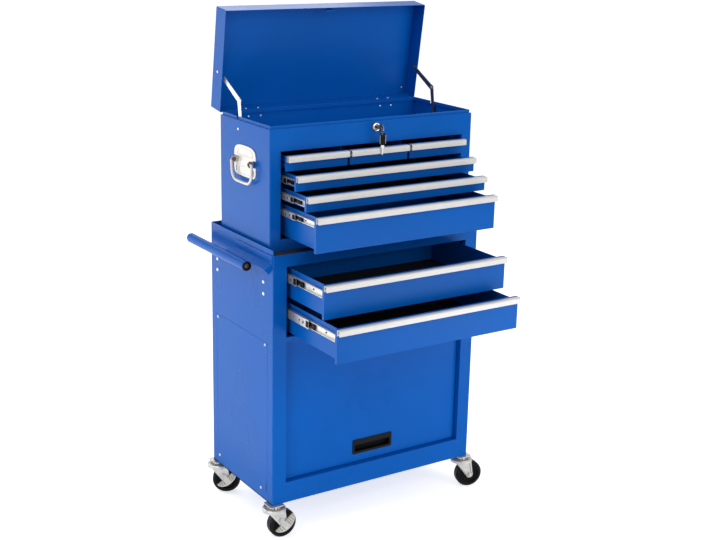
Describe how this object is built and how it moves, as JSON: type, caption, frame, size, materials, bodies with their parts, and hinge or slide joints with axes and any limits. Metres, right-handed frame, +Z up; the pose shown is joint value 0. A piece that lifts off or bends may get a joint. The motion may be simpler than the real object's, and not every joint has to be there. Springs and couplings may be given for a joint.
{
  "type": "tool cart",
  "caption": "Two-tier rolling tool cart: a lidded top chest with drawers on a cabinet with two deep drawers and a door, side push handle, swivel castors.",
  "frame": {"origin": "centre of the footprint of the rest pose (lid up, drawers stepped out), on the floor under the wheels", "axes": "+Z up, the drawers open towards -Y, the push handle is on the -X side"},
  "size_m": [0.714, 0.6252, 1.3115],
  "materials": {
    "blue_paint": "glossy blue powder coat",
    "zinc_plate": "zinc-plated pressed steel",
    "silver_trim": "satin silver lacquer",
    "chrome": "polished chrome plate",
    "black_plastic": "moulded black plastic",
    "black_rubber": "black sheet rubber",
    "wheel_rubber": "moulded black wheel"
  },
  "bodies": {
    "cabinet": {"base_shell": "blue_paint", "top_mat": "black_rubber", "push_handle": "blue_paint", "handle_cap_front": "black_plastic", "handle_cap_rear": "black_plastic", "chest_shell": "blue_paint", "lid_lock": "chrome", "handle_plate_left": "chrome", "handle_plate_right": "chrome", "castor_plate_front_left": "zinc_plate", "castor_plate_front_right": "zinc_plate", "castor_plate_rear_left": "zinc_plate", "castor_plate_rear_right": "zinc_plate"},
    "door": {"door": "blue_paint", "door_pull": "black_plastic"},
    "base_drawer_upper": {"base_drawer_upper": "blue_paint", "base_drawer_upper_trim": "silver_trim"},
    "base_drawer_upper_slides": {"base_drawer_upper_slide_left": "zinc_plate", "base_drawer_upper_slide_right": "zinc_plate"},
    "base_drawer_lower": {"base_drawer_lower": "blue_paint", "base_drawer_lower_trim": "silver_trim"},
    "base_drawer_lower_slides": {"base_drawer_lower_slide_left": "zinc_plate", "base_drawer_lower_slide_right": "zinc_plate"},
    "chest_drawer_upper": {"chest_drawer_upper": "blue_paint", "chest_drawer_upper_trim": "silver_trim"},
    "chest_drawer_upper_slides": {"chest_drawer_upper_slide_left": "zinc_plate", "chest_drawer_upper_slide_right": "zinc_plate"},
    "chest_drawer_middle": {"chest_drawer_middle": "blue_paint", "chest_drawer_middle_trim": "silver_trim"},
    "chest_drawer_middle_slides": {"chest_drawer_middle_slide_left": "zinc_plate", "chest_drawer_middle_slide_right": "zinc_plate"},
    "chest_drawer_deep": {"chest_drawer_deep": "blue_paint", "chest_drawer_deep_trim": "silver_trim"},
    "chest_drawer_deep_slides": {"chest_drawer_deep_slide_left": "zinc_plate", "chest_drawer_deep_slide_right": "zinc_plate"},
    "small_drawer_left": {"small_drawer_left": "blue_paint", "small_drawer_left_trim": "silver_trim"},
    "small_drawer_centre": {"small_drawer_centre": "blue_paint", "small_drawer_centre_trim": "silver_trim"},
    "small_drawer_right": {"small_drawer_right": "blue_paint", "small_drawer_right_trim": "silver_trim"},
    "lid": {"lid": "blue_paint"},
    "lid_stay_lower_left": {"lid_stay_lower_left": "zinc_plate"},
    "lid_stay_upper_left": {"lid_stay_upper_left": "zinc_plate"},
    "lid_stay_lower_right": {"lid_stay_lower_right": "zinc_plate"},
    "lid_stay_upper_right": {"lid_stay_upper_right": "zinc_plate"},
    "key": {"key": "zinc_plate"},
    "bail_handle_left": {"bail_handle_left": "chrome"},
    "bail_handle_right": {"bail_handle_right": "chrome"},
    "castor_front_left": {"castor_fork_front_left": "zinc_plate"},
    "wheel_front_left": {"castor_wheel_front_left": "wheel_rubber"},
    "brake_pedal_front_left": {"brake_pedal_front_left": "zinc_plate"},
    "castor_front_right": {"castor_fork_front_right": "zinc_plate"},
    "wheel_front_right": {"castor_wheel_front_right": "wheel_rubber"},
    "castor_rear_left": {"castor_fork_rear_left": "zinc_plate"},
    "wheel_rear_left": {"castor_wheel_rear_left": "wheel_rubber"},
    "brake_pedal_rear_left": {"brake_pedal_rear_left": "zinc_plate"},
    "castor_rear_right": {"castor_fork_rear_right": "zinc_plate"},
    "wheel_rear_right": {"castor_wheel_rear_right": "wheel_rubber"}
  },
  "joints": [
    {"name": "door_hinge", "type": "hinge", "parent": "cabinet", "child": "door", "pos_m": [0.00053, -0.05365, 0.5148], "axis": [-1, 0, 0], "range_deg": [0, 88]},
    {"name": "base_drawer_upper_run", "type": "slide", "parent": "cabinet", "child": "base_drawer_upper", "axis": [0, -1, 0], "range_m": [-0.168, 0.082]},
    {"name": "base_drawer_upper_slides_run", "type": "slide", "parent": "cabinet", "child": "base_drawer_upper_slides", "axis": [0, -1, 0], "range_m": [-0.05376, 0.02624]},
    {"name": "base_drawer_lower_run", "type": "slide", "parent": "cabinet", "child": "base_drawer_lower", "axis": [0, -1, 0], "range_m": [-0.227, 0.023]},
    {"name": "base_drawer_lower_slides_run", "type": "slide", "parent": "cabinet", "child": "base_drawer_lower_slides", "axis": [0, -1, 0], "range_m": [-0.1135, 0.0115]},
    {"name": "chest_drawer_upper_run", "type": "slide", "parent": "cabinet", "child": "chest_drawer_upper", "axis": [0, -1, 0], "range_m": [-0.0632, 0.1268]},
    {"name": "chest_drawer_upper_slides_run", "type": "slide", "parent": "cabinet", "child": "chest_drawer_upper_slides", "axis": [0, -1, 0], "range_m": [-0.0316, 0.0634]},
    {"name": "chest_drawer_middle_run", "type": "slide", "parent": "cabinet", "child": "chest_drawer_middle", "axis": [0, -1, 0], "range_m": [-0.111, 0.079]},
    {"name": "chest_drawer_middle_slides_run", "type": "slide", "parent": "cabinet", "child": "chest_drawer_middle_slides", "axis": [0, -1, 0], "range_m": [-0.06438, 0.04582]},
    {"name": "chest_drawer_deep_run", "type": "slide", "parent": "cabinet", "child": "chest_drawer_deep", "axis": [0, -1, 0], "range_m": [-0.156, 0.034]},
    {"name": "chest_drawer_deep_slides_run", "type": "slide", "parent": "cabinet", "child": "chest_drawer_deep_slides", "axis": [0, -1, 0], "range_m": [-0.07332, 0.01598]},
    {"name": "small_drawer_left_run", "type": "slide", "parent": "cabinet", "child": "small_drawer_left", "axis": [0, -1, 0], "range_m": [-0.018, 0.172]},
    {"name": "small_drawer_centre_run", "type": "slide", "parent": "cabinet", "child": "small_drawer_centre", "axis": [0, -1, 0], "range_m": [-0.018, 0.172]},
    {"name": "small_drawer_right_run", "type": "slide", "parent": "cabinet", "child": "small_drawer_right", "axis": [0, -1, 0], "range_m": [-0.018, 0.172]},
    {"name": "lid_hinge", "type": "hinge", "parent": "cabinet", "child": "lid", "pos_m": [0.00053, 0.21945, 1.0474], "axis": [-1, 0, 0], "range_deg": [-81.8, 0]},
    {"name": "lid_stay_lower_left_pivot", "type": "hinge", "parent": "cabinet", "child": "lid_stay_lower_left", "pos_m": [-0.28987, 0.11695, 1.0169], "axis": [-1, 0, 0], "range_deg": [-97, 0.3]},
    {"name": "lid_stay_upper_left_pivot", "type": "hinge", "parent": "lid_stay_lower_left", "child": "lid_stay_upper_left", "pos_m": [-0.28987, 0.12825, 1.0909], "axis": [1, 0, 0], "range_deg": [-105.8, 0.3]},
    {"name": "lid_stay_lower_right_pivot", "type": "hinge", "parent": "cabinet", "child": "lid_stay_lower_right", "pos_m": [0.29093, 0.11695, 1.0169], "axis": [-1, 0, 0], "range_deg": [-97, 0.3]},
    {"name": "lid_stay_upper_right_pivot", "type": "hinge", "parent": "lid_stay_lower_right", "child": "lid_stay_upper_right", "pos_m": [0.29093, 0.12825, 1.0909], "axis": [1, 0, 0], "range_deg": [-105.8, 0.3]},
    {"name": "key_turn", "type": "hinge", "parent": "cabinet", "child": "key", "pos_m": [0.00053, -0.04035, 1.0319], "axis": [0, 1, 0], "range_deg": [0, 90]},
    {"name": "bail_handle_left_swing", "type": "hinge", "parent": "cabinet", "child": "bail_handle_left", "pos_m": [-0.30887, 0.08216, 0.9502], "axis": [0, 1, 0], "range_deg": [-4, 100]},
    {"name": "bail_handle_right_swing", "type": "hinge", "parent": "cabinet", "child": "bail_handle_right", "pos_m": [0.30993, 0.08216, 0.9502], "axis": [0, -1, 0], "range_deg": [-4, 100]},
    {"name": "castor_front_left_swivel", "type": "hinge", "parent": "cabinet", "child": "castor_front_left", "pos_m": [-0.29747, -0.06465, 0.0825], "axis": [0, 0, 1], "continuous": true},
    {"name": "wheel_front_left_spin", "type": "hinge", "parent": "castor_front_left", "child": "wheel_front_left", "pos_m": [-0.2765, -0.06575, 0.0375], "axis": [0.0523, 0.9986, 0], "continuous": true},
    {"name": "brake_pedal_front_left_pivot", "type": "hinge", "parent": "castor_front_left", "child": "brake_pedal_front_left", "pos_m": [-0.28534, -0.08181, 0.05169], "axis": [0.0523, 0.9986, 0], "range_deg": [-8, 8]},
    {"name": "castor_front_right_swivel", "type": "hinge", "parent": "cabinet", "child": "castor_front_right", "pos_m": [0.29853, -0.06465, 0.0825], "axis": [0, 0, 1], "continuous": true},
    {"name": "wheel_front_right_spin", "type": "hinge", "parent": "castor_front_right", "child": "wheel_front_right", "pos_m": [0.31872, -0.07044, 0.0375], "axis": [0.2756, 0.9613, 0], "continuous": true},
    {"name": "castor_rear_left_swivel", "type": "hinge", "parent": "cabinet", "child": "castor_rear_left", "pos_m": [-0.29747, 0.24535, 0.0825], "axis": [0, 0, 1], "continuous": true},
    {"name": "wheel_rear_left_spin", "type": "hinge", "parent": "castor_rear_left", "child": "wheel_rear_left", "pos_m": [-0.27876, 0.23582, 0.0375], "axis": [0.454, 0.891, 0], "continuous": true},
    {"name": "brake_pedal_rear_left_pivot", "type": "hinge", "parent": "castor_rear_left", "child": "brake_pedal_rear_left", "pos_m": [-0.29336, 0.22474, 0.05169], "axis": [0.454, 0.891, 0], "range_deg": [-8, 8]},
    {"name": "castor_rear_right_swivel", "type": "hinge", "parent": "cabinet", "child": "castor_rear_right", "pos_m": [0.29853, 0.24535, 0.0825], "axis": [0, 0, 1], "continuous": true},
    {"name": "wheel_rear_right_spin", "type": "hinge", "parent": "castor_rear_right", "child": "wheel_rear_right", "pos_m": [0.31814, 0.23782, 0.0375], "axis": [0.3584, 0.9336, 0], "continuous": true}
  ],
  "couplings": [
    {"joint": "base_drawer_upper_slides_run", "follows": "base_drawer_upper_run", "ratio": 0.32},
    {"joint": "base_drawer_lower_slides_run", "follows": "base_drawer_lower_run", "ratio": 0.5},
    {"joint": "chest_drawer_upper_slides_run", "follows": "chest_drawer_upper_run", "ratio": 0.5},
    {"joint": "chest_drawer_middle_slides_run", "follows": "chest_drawer_middle_run", "ratio": 0.58},
    {"joint": "chest_drawer_deep_slides_run", "follows": "chest_drawer_deep_run", "ratio": 0.47},
    {"joint": "lid_stay_lower_left_pivot", "follows": "lid_hinge", "ratio": 1.181},
    {"joint": "lid_stay_upper_left_pivot", "follows": "lid_hinge", "ratio": 1.287},
    {"joint": "lid_stay_lower_right_pivot", "follows": "lid_hinge", "ratio": 1.181},
    {"joint": "lid_stay_upper_right_pivot", "follows": "lid_hinge", "ratio": 1.287}
  ]
}
